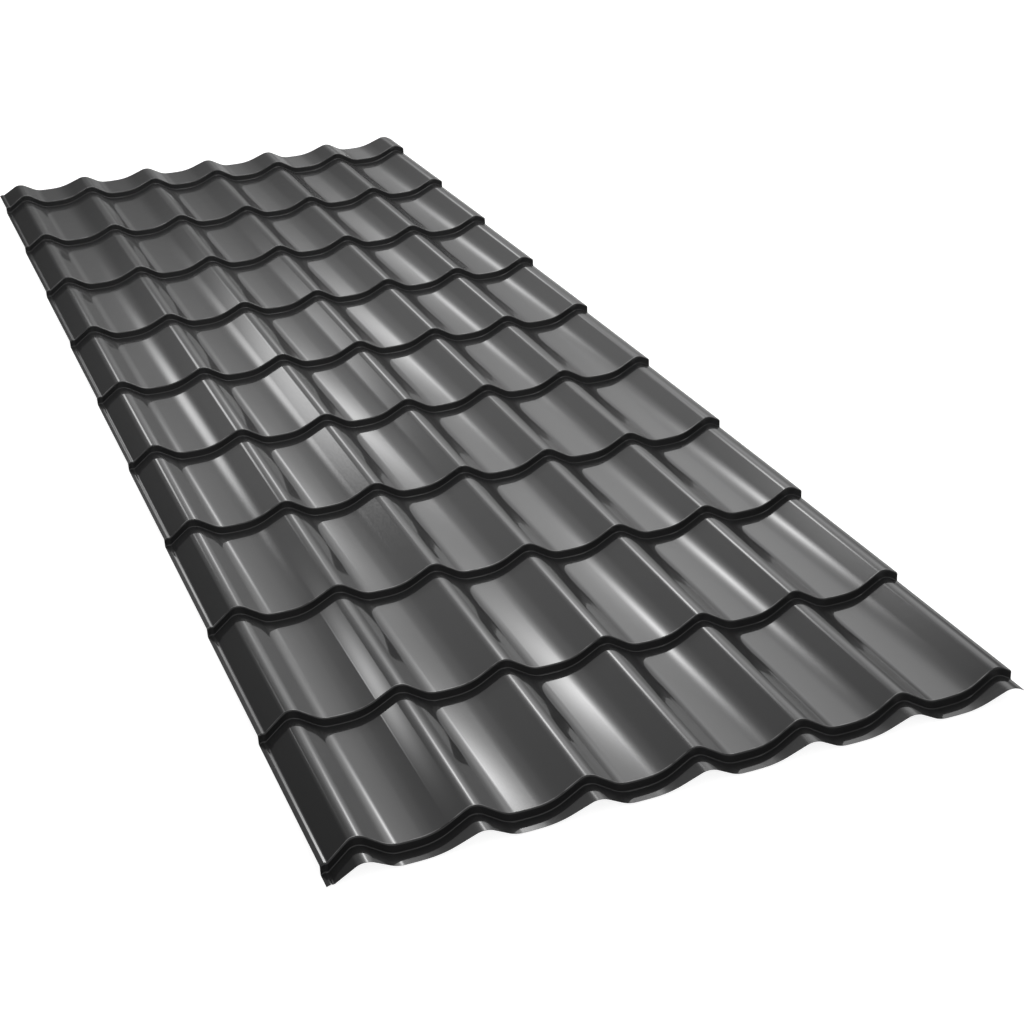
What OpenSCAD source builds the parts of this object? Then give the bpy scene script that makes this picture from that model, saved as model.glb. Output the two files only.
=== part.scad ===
// Metal roof tile sheet: one sheet of coated steel, rolled into waves across
// its width and pressed into tile steps along its length.
// It lies on a level floor. X runs across the waves, Y runs up the roof from
// the eaves edge to the head edge, and Z is up. The origin is the middle of
// its footprint on the floor.

/* [Sheet] */
// Number of waves, counted crest to crest
waves = 6; // [2:1:8]
// Distance from one crest to the next
wave_pitch = 183.333; // [160:0.001:220]
// Number of tile steps
steps = 10; // [2:1:12]
// Distance from one step to the next, along the roof
step_pitch = 350; // [250:5:450]
// Height of each step
step_h = 16; // [8:0.5:24]
// Length of sheet in front of the first step, at a crest
lip_l = 44; // [25:1:150]
// Length of sheet behind the last step, at a crest
head_l = 120; // [20:1:230]
// Thickness of the sheet
sheet_t = 0.5; // [0.4:0.05:0.8]

/* [Wave] */
// Height of a wave, from the pan to the crest
wave_h = 22.5; // [16:0.5:28]
// Outer radius of a crest
crest_r = 34; // [20:1:50]
// Angle of the steep flank, to the right of a crest
steep_angle = 28.5; // [22:0.5:40]
// Radius of the bend from the steep flank into the pan
heel_r = 52; // [20:1:90]
// Radius of the long sweep from the pan up to the gentle flank
sweep_r = 147; // [80:1:200]
// Angle of the gentle flank, to the left of a crest
gentle_angle = 20.5; // [15:0.5:27]
// Angle at which the shallow dish of the pan meets the bends on both sides of it
pan_angle = 2; // [1:0.5:3]
// How far the nose of a step lies further back at a crest than in a pan
nose_back = 13.5; // [4:0.5:20]

/* [Side laps] */
// Angle of the flap that runs down from the first crest
flap_angle = 30; // [24:1:40]
// Outer radius of the first crest on its flap side
flap_crest_r = 26; // [18:1:40]
// Radius of the drain groove at the bottom of the flap
groove_r = 4; // [3:0.5:8]
// Angle of the slope from the groove up to the bead
bead_angle = 10; // [5:1:20]
// Width of the slope from the groove up to the bead
bead_slope_w = 3; // [1:0.5:6]
// Outer radius of the bead
bead_r = 3; // [2:0.5:6]
// Angle of the drip edge that runs down outside the bead
drip_angle = 18; // [8:1:30]
// Width of the drip edge, from the top of the bead
drip_w = 6.8; // [3:0.1:12]
// Width of the lap to the right of the last crest
lap_w = 25.5; // [18:0.5:36]

/* [Smoothness] */
// Largest angle that one facet of a bend turns through
facet_angle = 6; // [4:1:10]
// Largest angle that one facet of the groove or the bead turns through
small_facet_angle = 14; // [8:1:20]

/* [Hidden] */

// Level run of a row and its tilt, which bring all the noses to one height
row_run = sqrt(step_pitch * step_pitch - step_h * step_h);
row_tilt = asin(step_h / step_pitch);

// Distance across from a crest to where the bend at the foot of a flank meets
// the dish of the pan, for a dish of the given depth
function bend_end(bend_r, angle, depth) = crest_r * sin(angle)
    + bend_r * (sin(angle) - sin(pan_angle))
    + (wave_h - depth - crest_r * (1 - cos(angle)) - bend_r * (cos(pan_angle) - cos(angle))) / tan(angle);

// The dish fills what the flanks and their bends leave of the wave's width.
// Its own depth takes a little off both flanks, which makes it wider.
room_w = wave_pitch - bend_end(heel_r, steep_angle, 0) - bend_end(sweep_r, gentle_angle, 0);
depth_per_w = tan(pan_angle / 2) / 2;
dish_w = room_w / (1 - depth_per_w * (1 / tan(steep_angle) + 1 / tan(gentle_angle)));
dish_depth = dish_w * depth_per_w;
dish_z = dish_depth - wave_h;

// Groove, bead and drip edge, as distances to the left of the first crest
groove_x = (flap_crest_r + groove_r) * sin(flap_angle)
    + (wave_h - (flap_crest_r + groove_r) * (1 - cos(flap_angle))) / tan(flap_angle);
bead_x = groove_x + (groove_r + bead_r) * sin(bead_angle) + bead_slope_w;
bead_z = (groove_r + bead_r) * (1 - cos(bead_angle)) + bead_slope_w * tan(bead_angle) - wave_h;
flap_w = bead_x + drip_w;

sheet_w = flap_w + waves * wave_pitch + lap_w;
first_crest_x = flap_w - sheet_w / 2;
crest_x = [for (i = [0 : waves]) first_crest_x + i * wave_pitch];

// The blocks that the sheet is cut from run this far past its edges
spare = 30;
block_depth = wave_h + step_h + spare;

// Height of the drip edge at a distance outside the bead
function drip_z(x, inset) = bead_z - bead_r + (bead_r - inset) / cos(drip_angle) - x * tan(drip_angle);

// Height of the steep flank at a distance past a crest
function steep_z(x, inset) = -crest_r + (crest_r - inset) / cos(steep_angle) - x * tan(steep_angle);

// Where the nose of a step lies at a height of the section
function nose_y(z, inset) = inset + (z + inset) * nose_back / wave_h;

// Outer extent of the levelled sheet, which places the origin
low_z = min(-wave_h - sheet_t, drip_z(drip_w, sheet_t));
front_y = -lip_l * cos(row_tilt) + (low_z - step_h) * sin(row_tilt);
back_y = (steps - 1) * step_pitch + head_l * cos(row_tilt);
foot_z = (low_z - step_h) * cos(row_tilt) - nose_y(low_z, sheet_t) * sin(row_tilt);

// Arc about [x, z] of the given radius, in facets that each turn through at
// most the given angle. Angle 0 points up and 90 to the right.
function arc(x, z, r, from, to, facet) = let (n = ceil(abs(to - from) / facet))
    [for (i = [0 : n]) let (a = from + (to - from) * i / n) [x + r * sin(a), z + r * cos(a)]];

// A crest whose top is at height 0. Its left side may have its own radius.
function crest(x, left_r, left_angle, inset) =
    let (turn = left_angle + steep_angle, n = ceil(turn / facet_angle))
    [for (i = [0 : n]) let (a = turn * i / n - left_angle, r = a < 0 ? left_r : crest_r)
        [x + (r - inset) * sin(a), (r - inset) * cos(a) - r]];
function rise(x, inset) = arc(x - bend_end(sweep_r, gentle_angle, dish_depth) - sweep_r * sin(pan_angle),
    dish_z + sweep_r * cos(pan_angle), sweep_r + inset, 180 - pan_angle, 180 - gentle_angle, facet_angle);
function fall(x, inset) = arc(x + bend_end(heel_r, steep_angle, dish_depth) + heel_r * sin(pan_angle),
    dish_z + heel_r * cos(pan_angle), heel_r + inset, 180 + steep_angle, 180 + pan_angle, facet_angle);
function bead(inset) = arc(first_crest_x - bead_x, bead_z - bead_r,
    bead_r - inset, -drip_angle, bead_angle, small_facet_angle);
function groove(inset) = arc(first_crest_x - groove_x, groove_r - wave_h,
    groove_r + inset, 180 + bead_angle, 180 - flap_angle, small_facet_angle);

// Section across the whole sheet, moved inwards by inset. The dish of a pan is
// shallow enough to be the one facet between the bends on both sides of it.
function section(inset) = concat(
    [[-sheet_w / 2 - spare, drip_z(drip_w + spare, inset)]],
    bead(inset),
    groove(inset),
    crest(first_crest_x, flap_crest_r, flap_angle, inset),
    [for (i = [1 : waves]) each concat(
        fall(crest_x[i - 1], inset),
        rise(crest_x[i], inset),
        crest(crest_x[i], crest_r, gentle_angle, inset)
    )],
    [[sheet_w / 2 + spare, steep_z(lap_w + spare, inset)]]
);

// Everything under one row of tiles and behind its nose. The nose is curved in
// plan: it comes furthest forward where the wave is lowest.
module row_block(inset) {
    points = section(inset);
    left_x = points[0].x;
    right_x = points[len(points) - 1].x;
    back = row_run + spare;
    nose = [for (p = points) [p.x, nose_y(p.y, inset)]];
    intersection() {
        translate([0, back, 0]) rotate([90, 0, 0])
            linear_extrude(back + 2 * spare)
            polygon(concat(points, [[right_x, -block_depth], [left_x, -block_depth]]));
        translate([0, 0, -block_depth - spare])
            linear_extrude(block_depth + 2 * spare)
            polygon(concat([[right_x, back + spare], [left_x, back + spare]], nose));
    }
}

// The rows climb like stairs, with one more row in front for the eaves lip
module stairs(inset) {
    for (row = [-1 : steps - 1])
        translate([0, row * row_run, row * step_h]) row_block(inset);
}

// Space between the sheet's edges, in the frame of the stairs
module trim_box() {
    bottom = -block_depth - 2 * step_h;
    translate([-sheet_w / 2, -lip_l, bottom])
        cube([sheet_w, lip_l + (steps - 1) * row_run + head_l, (steps + 1) * step_h - bottom]);
}

module tile_sheet() {
    color("#303133")
    translate([0, -(front_y + back_y) / 2, -foot_z])
    rotate([-row_tilt, 0, 0])
    intersection() {
        difference() {
            stairs(0);
            stairs(sheet_t);
        }
        trim_box();
    }
}

tile_sheet();
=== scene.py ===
import math

import bpy
import numpy as np
from mathutils import Matrix, Quaternion, Vector


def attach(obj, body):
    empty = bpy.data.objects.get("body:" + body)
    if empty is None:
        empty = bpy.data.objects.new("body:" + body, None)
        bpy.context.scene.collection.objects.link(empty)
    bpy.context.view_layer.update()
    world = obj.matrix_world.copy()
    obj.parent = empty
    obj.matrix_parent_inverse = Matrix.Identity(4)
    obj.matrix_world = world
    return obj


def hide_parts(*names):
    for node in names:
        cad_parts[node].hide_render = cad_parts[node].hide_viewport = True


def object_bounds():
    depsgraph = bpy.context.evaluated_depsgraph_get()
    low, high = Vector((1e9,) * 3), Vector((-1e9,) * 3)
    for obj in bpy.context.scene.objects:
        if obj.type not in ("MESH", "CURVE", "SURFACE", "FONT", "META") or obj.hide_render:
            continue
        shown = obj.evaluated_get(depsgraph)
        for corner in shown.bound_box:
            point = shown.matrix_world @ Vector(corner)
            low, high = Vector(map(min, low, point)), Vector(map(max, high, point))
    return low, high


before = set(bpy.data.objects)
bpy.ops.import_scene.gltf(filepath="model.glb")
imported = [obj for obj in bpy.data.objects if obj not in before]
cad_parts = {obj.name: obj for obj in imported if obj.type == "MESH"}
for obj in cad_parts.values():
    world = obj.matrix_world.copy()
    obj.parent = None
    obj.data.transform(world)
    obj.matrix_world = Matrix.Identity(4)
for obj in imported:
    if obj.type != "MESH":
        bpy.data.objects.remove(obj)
cad_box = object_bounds()

MM = 0.001

# ---------------------------------------------------------------- sizes of the sheet, in mm
WAVES, WAVE_PITCH = 6, 183.333
STEPS, STEP_PITCH, STEP_H = 10, 350.0, 16.0
LIP_L, HEAD_L, SHEET_T = 44.0, 120.0, 0.5
WAVE_H, CREST_R, HEEL_R, SWEEP_R = 22.5, 34.0, 52.0, 147.0
STEEP, GENTLE, PAN = math.radians(28.5), math.radians(20.5), math.radians(2.0)
NOSE_BACK = 13.5    # a nose lies this much further back on a crest than in a pan
FLAP, FLAP_CREST_R, GROOVE_R = math.radians(30.0), 26.0, 4.0
BEAD, BEAD_SLOPE_W, BEAD_R = math.radians(10.0), 3.0, 3.0
DRIP, DRIP_W, LAP_W = math.radians(18.0), 6.8, 25.5
NOSE_R = 2.6        # press radius along the top of a step
FOOT_R = 2.0        # press radius along the foot of a step

ROW_RUN = math.sqrt(STEP_PITCH ** 2 - STEP_H ** 2)
ROW_TILT = math.asin(STEP_H / STEP_PITCH)
SET_BACK = NOSE_BACK / WAVE_H

# ---------------------------------------------------------------- how fine the mesh is
ARC_STEP = math.radians(2.6)            # largest turn from one point to the next in the wave
BEAD_PIECES, GROOVE_PIECES, DISH_PIECES = 6, 8, 6
FLAP_RUN, RUN = 3, 2                    # pieces of the flap's straight run, and of every other one
FOOT_HIGHLIGHT = (0, 0, 0, 0, 0, 0, 0)       # share of the painted highlight at each station of a foot: none
NOSE_HIGHLIGHT = (0, 0, 0, 0, 0.6, 1)        # and of a nose, from the riser up: a painted highlight line along its top
HIGHLIGHT_FADE_W = 1.3                            # mm behind a nose in which the painted highlight fades out
EDGE_IN = 0.000001                      # metres left between the shown sheet and the part's box


# ---------------------------------------------------------------- the sheet
def bend_end(bend_r, angle, depth):
    """Distance from a crest to where the bend at the foot of a flank meets the dish of the pan."""
    drop = (WAVE_H - depth - CREST_R * (1 - math.cos(angle))
            - bend_r * (math.cos(PAN) - math.cos(angle)))
    return (CREST_R * math.sin(angle) + bend_r * (math.sin(angle) - math.sin(PAN))
            + drop / math.tan(angle))


ROOM_W = WAVE_PITCH - bend_end(HEEL_R, STEEP, 0) - bend_end(SWEEP_R, GENTLE, 0)
DEPTH_PER_W = math.tan(PAN / 2) / 2
DISH_W = ROOM_W / (1 - DEPTH_PER_W * (1 / math.tan(STEEP) + 1 / math.tan(GENTLE)))
DISH_DEPTH = DISH_W * DEPTH_PER_W
DISH_R = DISH_W / 2 / math.sin(PAN)
GROOVE_X = ((FLAP_CREST_R + GROOVE_R) * math.sin(FLAP)
            + (WAVE_H - (FLAP_CREST_R + GROOVE_R) * (1 - math.cos(FLAP))) / math.tan(FLAP))
BEAD_X = GROOVE_X + (GROOVE_R + BEAD_R) * math.sin(BEAD) + BEAD_SLOPE_W
BEAD_Z = (GROOVE_R + BEAD_R) * (1 - math.cos(BEAD)) + BEAD_SLOPE_W * math.tan(BEAD) - WAVE_H
DRIP_Z = BEAD_Z - BEAD_R + BEAD_R / math.cos(DRIP) - DRIP_W * math.tan(DRIP)
LOW_Z = DRIP_Z - SHEET_T / math.cos(DRIP)
FLAP_W = BEAD_X + DRIP_W
SHEET_W = FLAP_W + WAVES * WAVE_PITCH + LAP_W
FIRST_CREST_X = FLAP_W - SHEET_W / 2


def arc(x, z, r, start, end, valley, pieces=0):
    """Points (x, height, slope) along an arc round (x, z) whose slope angle turns from start to end."""
    n = pieces or max(2, math.ceil(abs(end - start) / ARC_STEP))
    side = -1 if valley else 1
    out = []
    for i in range(n + 1):
        angle = start + (end - start) * i / n
        out.append((x - side * r * math.sin(angle), z + side * r * math.cos(angle), math.tan(angle)))
    return out


def section():
    """The wave's profile across the whole sheet, from the drip edge to the open lap."""
    first = FIRST_CREST_X
    pts = [(-SHEET_W / 2, DRIP_Z, math.tan(DRIP))]

    def add(new, run=RUN):
        """Adds an arc after a straight run of so many pieces, or with none, one that joins the last."""
        start = pts[-1]
        pts.extend(tuple(p + (q - p) * i / run for p, q in zip(start, new[0])) for i in range(1, run))
        pts.extend(new if run else new[1:])

    add(arc(first - BEAD_X, BEAD_Z - BEAD_R, BEAD_R, DRIP, -BEAD, False, BEAD_PIECES))
    add(arc(first - GROOVE_X, GROOVE_R - WAVE_H, GROOVE_R, -BEAD, FLAP, True, GROOVE_PIECES))
    add(arc(first, -FLAP_CREST_R, FLAP_CREST_R, FLAP, 0, False), FLAP_RUN)
    add(arc(first, -CREST_R, CREST_R, 0, -STEEP, False), 0)
    rim = DISH_DEPTH - WAVE_H
    for i in range(1, WAVES + 1):
        left, right = first + (i - 1) * WAVE_PITCH, first + i * WAVE_PITCH
        dish_start = left + bend_end(HEEL_R, STEEP, DISH_DEPTH)
        dish_end = right - bend_end(SWEEP_R, GENTLE, DISH_DEPTH)
        add(arc(dish_start + HEEL_R * math.sin(PAN), rim + HEEL_R * math.cos(PAN), HEEL_R,
                -STEEP, -PAN, True))
        add(arc((dish_start + dish_end) / 2, DISH_R - WAVE_H, DISH_R, -PAN, PAN, True, DISH_PIECES), 0)
        add(arc(dish_end - SWEEP_R * math.sin(PAN), rim + SWEEP_R * math.cos(PAN), SWEEP_R,
                PAN, GENTLE, True), 0)
        add(arc(right, -CREST_R, CREST_R, GENTLE, -STEEP, False))
    drop = -CREST_R + CREST_R / math.cos(STEEP) - LAP_W * math.tan(STEEP)
    add([(SHEET_W / 2, drop, -math.tan(STEEP))])
    return np.array(pts)


def stairs():
    """Stations along the sheet: y, z, path direction y, z, share of the set-back, painted highlight."""
    out = [(-LIP_L, -STEP_H, 1.0, 0.0, 0.0, 0.0)]

    def bend(y, z, r, rising, painted_glint):
        """Quarter turn from level to upright (rising), or from upright to level."""
        n = len(painted_glint) - 1
        for i in range(n + 1):
            a = math.pi / 2 * i / n
            c, s = math.cos(a), math.sin(a)
            if rising:
                out.append((y + r * s, z + r * (1 - c), c, s, 1.0, painted_glint[i]))
            else:
                out.append((y + r * (1 - c), z + r * s, s, c, 1.0, painted_glint[i]))

    for k in range(STEPS):
        y, low, high = k * ROW_RUN, (k - 1) * STEP_H, k * STEP_H
        # each foot and nose takes its share of the painted highlight along the step
        bend(y - FOOT_R, low, FOOT_R, True, FOOT_HIGHLIGHT)
        bend(y, high - NOSE_R, NOSE_R, False, NOSE_HIGHLIGHT)
        out.append((y + NOSE_R + HIGHLIGHT_FADE_W, high, 1.0, 0.0, 1.0, 0.0))
    last, top = (STEPS - 1) * ROW_RUN, (STEPS - 1) * STEP_H
    out.append((last + NOSE_R + HEAD_L / 2, top, 1.0, 0.0, 0.5, 0.0))
    out.append((last + HEAD_L, top, 1.0, 0.0, 0.0, 0.0))
    return np.array(out)


def level(p):
    """Takes points from the stairs' frame, in mm, to the part's frame, in metres."""
    c, s = math.cos(ROW_TILT), math.sin(ROW_TILT)
    front = -LIP_L * c + (LOW_Z - STEP_H) * s
    back = (STEPS - 1) * STEP_PITCH + HEAD_L * c
    foot = (LOW_Z - STEP_H) * c - (SHEET_T + (LOW_Z + SHEET_T) * SET_BACK) * s
    y = p[..., 1] * c + p[..., 2] * s - (front + back) / 2
    z = -p[..., 1] * s + p[..., 2] * c - foot
    return np.stack([p[..., 0], y, z], -1) * MM


def turn(v):
    """Takes directions from the stairs' frame to the part's frame."""
    c, s = math.cos(ROW_TILT), math.sin(ROW_TILT)
    return np.stack([v[..., 0], v[..., 1] * c + v[..., 2] * s, -v[..., 1] * s + v[..., 2] * c], -1)


def sheet_mesh(name):
    """The wave swept along the stairs: upper face, lower face and the cut edges round them."""
    wave, path = section(), stairs()
    x, w, slope = (wave[:, k][None, :] for k in range(3))
    y, z, dy, dz, share, painted_glint = (path[:, k][:, None] for k in range(6))
    rows, cols = len(path), len(wave)
    top = np.stack(np.broadcast_arrays(x, y + share * SET_BACK * w, z + w), -1)
    normal = np.stack(np.broadcast_arrays(slope * (SET_BACK * dz - dy), -dz + 0 * w, dy + 0 * w), -1)
    normal /= np.linalg.norm(normal, axis=2)[:, :, None]
    bottom = top - SHEET_T * normal
    bottom[..., 0] = np.clip(bottom[..., 0], -SHEET_W / 2, SHEET_W / 2)
    points = np.concatenate([level(top).reshape(-1, 3), level(bottom).reshape(-1, 3)])
    points = np.clip(points, np.array(cad_box[0]) + EDGE_IN, np.array(cad_box[1]) - EDGE_IN)

    n = rows * cols
    grid = np.arange(n).reshape(rows, cols)
    a, b, c, d = grid[:-1, :-1], grid[:-1, 1:], grid[1:, 1:], grid[1:, :-1]
    upper = np.stack([a, b, c, d], -1).reshape(-1, 4)
    lower = upper[:, ::-1] + n

    def rim(line):
        """Faces of the cut edge along one side of the grid."""
        p, q = line[:-1], line[1:]
        return np.stack([p, p + n, q + n, q], -1)

    rims = np.concatenate([rim(grid[0]), rim(grid[:, -1]), rim(grid[-1, ::-1]), rim(grid[::-1, 0])])
    faces = np.concatenate([upper, lower, rims])
    mesh = bpy.data.meshes.new(name)
    mesh.from_pydata(points.tolist(), [], faces.tolist())
    mesh.update()

    # True normals on both faces, and flat ones on the cut edges.
    first_rim = len(upper) + len(lower)
    upper_normals = turn(normal).reshape(-1, 3)
    corner_normals = np.concatenate([upper_normals, -upper_normals])[faces.reshape(-1)]
    rim_normals = [poly.normal for poly in mesh.polygons[first_rim:]]
    corner_normals[first_rim * 4:] = np.repeat(rim_normals, 4, axis=0)
    mesh.polygons.foreach_set("use_smooth", np.ones(len(faces), bool))
    mesh.normals_split_custom_set(corner_normals.tolist())

    slots = np.repeat([0, 1, 2], [len(upper), len(lower), len(rims)])
    mesh.polygons.foreach_set("material_index", slots.astype(np.int32))
    # the painted highlight along the noses goes to the points as an attribute
    painted_glint_share = np.tile(np.repeat(painted_glint[:, 0], cols), 2)
    mesh.attributes.new("pressed", "FLOAT", "POINT").data.foreach_set("value", painted_glint_share.astype(np.float32))
    return mesh


# ---------------------------------------------------------------- nodes
def put(tree, kind, inputs, **settings):
    """New node. Each input is a number, a colour or another node's output."""
    node = tree.nodes.new("ShaderNode" + kind)
    for key, value in settings.items():
        setattr(node, key, value)
    for key, value in inputs.items():
        if isinstance(value, bpy.types.NodeSocket):
            tree.links.new(value, node.inputs[key])
        else:
            node.inputs[key].default_value = value
    return node


def maths(tree, operation, *values):
    inputs = dict(enumerate(values))
    return put(tree, "Math", inputs, operation=operation).outputs["Value"]


def ranged(tree, value, to, start=(0.0, 1.0)):
    """Maps value from the range start to the range to."""
    inputs = {"Value": value, "From Min": start[0], "From Max": start[1], "To Min": to[0], "To Max": to[1]}
    return put(tree, "MapRange", inputs).outputs["Result"]


def mixed(tree, factor, a, b):
    """Colour between a and b."""
    inputs = {"Factor": factor, "A": a, "B": b}
    return put(tree, "Mix", inputs, data_type="RGBA").outputs["Result"]


def place(tree, scale=(1, 1, 1)):
    """The object's own coordinates, scaled along each axis."""
    own = put(tree, "TexCoord", {}).outputs["Object"]
    return put(tree, "Mapping", {"Vector": own, "Scale": scale}).outputs["Vector"]


def noise(tree, coords, scale, detail):
    inputs = {"Vector": coords, "Scale": scale, "Detail": detail}
    return put(tree, "TexNoise", inputs).outputs["Fac"]


def bump(tree, height, distance):
    return put(tree, "Bump", {"Height": height, "Distance": distance, "Strength": 1.0}).outputs["Normal"]


def new_material(name):
    mat = bpy.data.materials.new(name)
    mat.use_nodes = True
    mat.node_tree.nodes.clear()
    return mat, mat.node_tree


def cover(tree, shader):
    """Makes a shader's output the material's surface."""
    put(tree, "OutputMaterial", {"Surface": shader})


# ---------------------------------------------------------------- materials
PEEL = 0.0000005            # metres from the lowest to the highest of the coat's orange peel
BACKING_GRAIN = 0.00003     # and of the backing coat's grain
# light grey of the highlight painted along the noses
HIGHLIGHT_GREY = (0.18, 0.18, 0.18, 1)
HIGHLIGHT_GAPS = (0.38, 0.62)      # noise levels at which the painted highlight line is missing and whole


def paint():
    """Glossy dark grey coil coat: a soft base under a clear, sharp top, with a highlight painted as a
    broken light grey line along the noses.
    """
    mat, tree = new_material("coat_dark_grey")
    even, rolled = place(tree), place(tree, (6, 1, 6))
    grain = mixed(tree, noise(tree, rolled, scale=9.0, detail=3.0),
                  (0.0125, 0.0125, 0.0128, 1), (0.0145, 0.0145, 0.0148, 1))
    pressed = put(tree, "Attribute", {}, attribute_name="pressed").outputs["Fac"]
    patchy = ranged(tree, noise(tree, even, scale=34.0, detail=3.0), (0.0, 1.0), HIGHLIGHT_GAPS)
    # painted highlight: a broken light grey line along the noses, mixed into the coat's colour
    colour = mixed(tree, maths(tree, "MULTIPLY", pressed, patchy), grain, HIGHLIGHT_GREY)
    cover(tree, put(tree, "BsdfPrincipled", {
        "Base Color": colour,
        "Roughness": ranged(tree, noise(tree, even, scale=38.0, detail=4.0), (0.36, 0.40)),
        "IOR": 1.5,
        "Specular IOR Level": 0.09,
        "Coat Weight": 0.70,
        "Coat Roughness": 0.03,
        "Coat IOR": 1.5,
        "Normal": bump(tree, noise(tree, even, scale=160.0, detail=1.0), PEEL),
    }).outputs["BSDF"])
    return mat


def backing():
    """Matt pale grey backing coat on the underside."""
    mat, tree = new_material("backing_coat_grey")
    even = place(tree)
    cover(tree, put(tree, "BsdfPrincipled", {
        "Base Color": mixed(tree, noise(tree, even, scale=24.0, detail=5.0),
                            (0.27, 0.275, 0.27, 1), (0.33, 0.335, 0.33, 1)),
        "Roughness": ranged(tree, noise(tree, even, scale=60.0, detail=4.0), (0.45, 0.6)),
        "Normal": bump(tree, noise(tree, even, scale=420.0, detail=2.0), BACKING_GRAIN),
    }).outputs["BSDF"])
    return mat


def cut_edge():
    """Cut edge of the sheet: dark coat drawn over the steel by the shears."""
    mat, tree = new_material("cut_edge")
    cover(tree, put(tree, "BsdfPrincipled", {
        "Base Color": mixed(tree, noise(tree, place(tree), scale=90.0, detail=4.0),
                            (0.02, 0.02, 0.02, 1), (0.07, 0.07, 0.072, 1)),
        "Roughness": 0.5,
    }).outputs["BSDF"])
    return mat


# ---------------------------------------------------------------- the piece
mesh = sheet_mesh("coated_sheet")
sheet = bpy.data.objects.new("coated_sheet", mesh)
bpy.context.scene.collection.objects.link(sheet)
for made in (paint(), backing(), cut_edge()):
    mesh.materials.append(made)
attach(sheet, "root")
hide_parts("tile_sheet")

# ---------------------------------------------------------------- floor
FLOOR_SIZE = 300.0
FLOOR_Z = -0.0004
FLOOR_GREY = 0.45
FLOOR_GLOW = 0.85               # makes the floor white to the camera, with its diffuse light
MIRRORED_GLOW = 0.6             # share of the glow that the sheet mirrors at most
SKIMS, STEEP_ENOUGH = 0.90, 0.55    # Layer Weight's Facing where that share is nothing, and whole


def floor_white():
    """Pale floor that shows white to the camera and keeps the sheet's shadow.

    A reflection that only skims the floor sees little of its glow.
    """
    mat, tree = new_material("floor_white")
    ray = put(tree, "LightPath", {}).outputs
    facing = put(tree, "LayerWeight", {}).outputs["Facing"]
    steepness = ranged(tree, facing, (0.0, MIRRORED_GLOW), (SKIMS, STEEP_ENOUGH))
    seen = maths(tree, "MAXIMUM", ray["Is Camera Ray"], ray["Is Transmission Ray"])
    mirrored = maths(tree, "MULTIPLY", ray["Is Glossy Ray"], steepness)
    share = maths(tree, "MAXIMUM", seen, mirrored)
    glow = put(tree, "Emission", {"Color": (1, 1, 1, 1),
                                  "Strength": maths(tree, "MULTIPLY", share, FLOOR_GLOW)})
    diffuse = put(tree, "BsdfDiffuse", {"Color": (FLOOR_GREY, FLOOR_GREY, FLOOR_GREY, 1)})
    total = put(tree, "AddShader", {0: diffuse.outputs["BSDF"], 1: glow.outputs["Emission"]})
    cover(tree, total.outputs["Shader"])
    return mat


bpy.ops.mesh.primitive_plane_add(size=FLOOR_SIZE, location=(0, 0, FLOOR_Z))
floor = bpy.context.object
floor.name = "floor"
floor.data.materials.append(floor_white())

# ---------------------------------------------------------------- studio
# The room's brightness is one curve over the height above the horizon times one over the side,
# which is 0 towards +Y and 90 towards +X. Each stop is (degrees, level).
BY_HEIGHT = [(-90, 0.3), (-40, 0.2), (-10, 0.064), (-2, 0.13), (5, 0.26), (12, 0.39), (19, 0.73),
             (26, 1.0), (34, 0.97), (44, 0.40), (60, 0.35), (90, 0.4)]
BY_SIDE = [(-180, 0.5), (-162, 1.6), (-145, 0.4), (-122, 2.0), (-98, 0.9), (-60, 0.4), (-32, 0.22),
           (-20, 0.13), (-14, 0.20), (-9, 0.18), (-3, 0.16), (3, 0.36), (9, 0.50), (15, 1.22),
           (22, 1.5), (30, 2.05), (38, 2.15), (48, 0.9), (80, 1.4), (98, 0.4), (118, 1.0),
           (132, 2.0), (146, 0.4), (162, 1.6), (180, 0.5)]
# Name, place, reach, radiance, fall and roll of each lamp; softbox says what they are.
LAMPS = [
    ("lamp_near", (1.08, 1.95, 2.13), (0.20, 0.36), 10.8, 0.78, 0.01),
    ("lamp_far", (1.54, 5.52, 2.13), (0.22, 0.58), 3.7, 0.85, 0.08),
    ("lamp_left", (-0.41, 3.55, 1.51), (0.20, 0.42), 4.9, 1.25, 0.38),
    ("lamp_over", (0.04, 0.30, 1.07), (1.26, 2.13), 0.62, 1.50, -0.18),
    ("lamp_back", (-2.40, 8.95, 5.94), (0.08, 0.53), 6.8, 0.88, 0.42),
    ("lamp_strip", (1.2, 0.5, 6.0), (3.2, 0.35), 5.0, 2.0, 0.0),
]
LAMP_CUT = 4.6      # a lamp's face ends where its glow has fallen to a hundredth


def curve(tree, stops, angle):
    """Smooth function of an angle through stops."""
    low, high = stops[0][0], stops[-1][0]
    node = put(tree, "FloatCurve",
               {"Value": ranged(tree, angle, (0.0, 1.0), (math.radians(low), math.radians(high)))})
    node.mapping.use_clip = False
    points = node.mapping.curves[0].points
    placed = [((degrees - low) / (high - low), bright) for degrees, bright in stops]
    points[0].location, points[-1].location = placed[0], placed[-1]
    for x, y in placed[1:-1]:
        points.new(x, y)
    node.mapping.update()
    return node.outputs["Value"]


def studio_world():
    world = bpy.data.worlds.new("studio")
    world.use_nodes = True
    tree = world.node_tree
    tree.nodes.clear()
    way = put(tree, "TexCoord", {}).outputs["Generated"]
    x, y, z = put(tree, "SeparateXYZ", {"Vector": way}).outputs
    by_height = curve(tree, BY_HEIGHT, maths(tree, "ARCSINE", z))
    by_side = curve(tree, BY_SIDE, maths(tree, "ARCTAN2", x, y))
    strength = maths(tree, "MULTIPLY", by_height, by_side)
    back = put(tree, "Background", {"Color": (1, 1, 1, 1), "Strength": strength})
    put(tree, "OutputWorld", {"Surface": back.outputs["Background"]})
    return world


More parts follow.
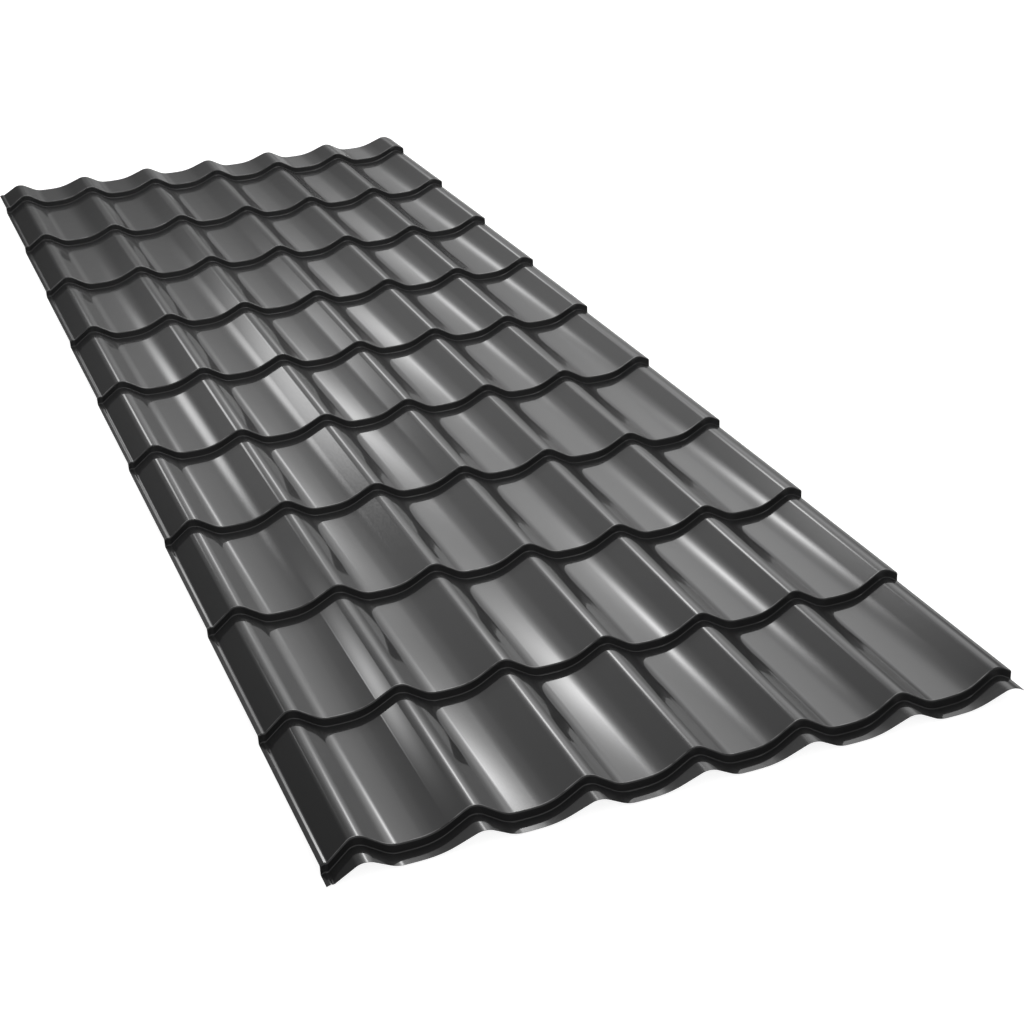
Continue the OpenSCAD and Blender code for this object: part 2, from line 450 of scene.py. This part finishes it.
def softbox(name, where, reach, radiance, fall, roll):
    """Lamp facing the middle of the sheet, brightest at its own middle and fading out from it.

    reach is how far across and up the glow falls to a third, in metres, and fall is how steeply it
    does so. radiance is the level in the middle, and roll turns the lamp about its own axis, in radians.
    """
    data = bpy.data.lights.new(name, "AREA")
    data.shape = "RECTANGLE"
    cut = LAMP_CUT ** (0.5 / fall)
    data.size, data.size_y = 2 * reach[0] * cut, 2 * reach[1] * cut
    data.energy = math.pi * data.size * data.size_y
    data.use_nodes = True
    tree = data.node_tree
    across = put(tree, "NewGeometry", {}).outputs["Parametric"]
    centred = put(tree, "VectorMath", {0: across, 1: (2 * cut, 2 * cut, 0), 2: (-cut, -cut, 0)},
                  operation="MULTIPLY_ADD").outputs["Vector"]
    distance = put(tree, "VectorMath", {0: centred}, operation="LENGTH").outputs["Value"]
    fade = maths(tree, "POWER", 1 / math.e, maths(tree, "POWER", distance, 2 * fall))
    tree.links.new(maths(tree, "MULTIPLY", fade, radiance), tree.nodes["Emission"].inputs["Strength"])
    ob = bpy.data.objects.new(name, data)
    ob.location = where
    ob.rotation_mode = "QUATERNION"
    facing = (-Vector(where)).to_track_quat("-Z", "Y")
    ob.rotation_quaternion = facing @ Quaternion((0, 0, 1), -roll)
    ob.visible_camera = False
    bpy.context.scene.collection.objects.link(ob)


bpy.context.scene.world = studio_world()
for lamp in LAMPS:
    softbox(*lamp)

# ---------------------------------------------------------------- camera
# Place and axes of the camera that was fitted to the photograph, in the part's frame.
CAMERA_AT = (-1.06215, -3.69593, 1.71690)
CAMERA_RIGHT = Vector((0.92336, -0.38366, -0.01475))
CAMERA_DOWN = Vector((-0.19422, -0.43362, -0.87992))
CAMERA_AHEAD = Vector((0.33119, 0.81534, -0.4749))

cam_data = bpy.data.cameras.new("camera")
cam = bpy.data.objects.new("camera", cam_data)
bpy.context.scene.collection.objects.link(cam)
cam_data.sensor_width = 36.0
cam_data.lens = 64.994
cam_data.shift_x = -0.03986
cam_data.clip_end = 200.0
turned = Matrix((CAMERA_RIGHT, -CAMERA_DOWN, -CAMERA_AHEAD)).transposed().to_4x4()
cam.matrix_world = Matrix.Translation(CAMERA_AT) @ turned
bpy.context.scene.camera = cam

bpy.context.scene.view_settings.view_transform = "Standard"
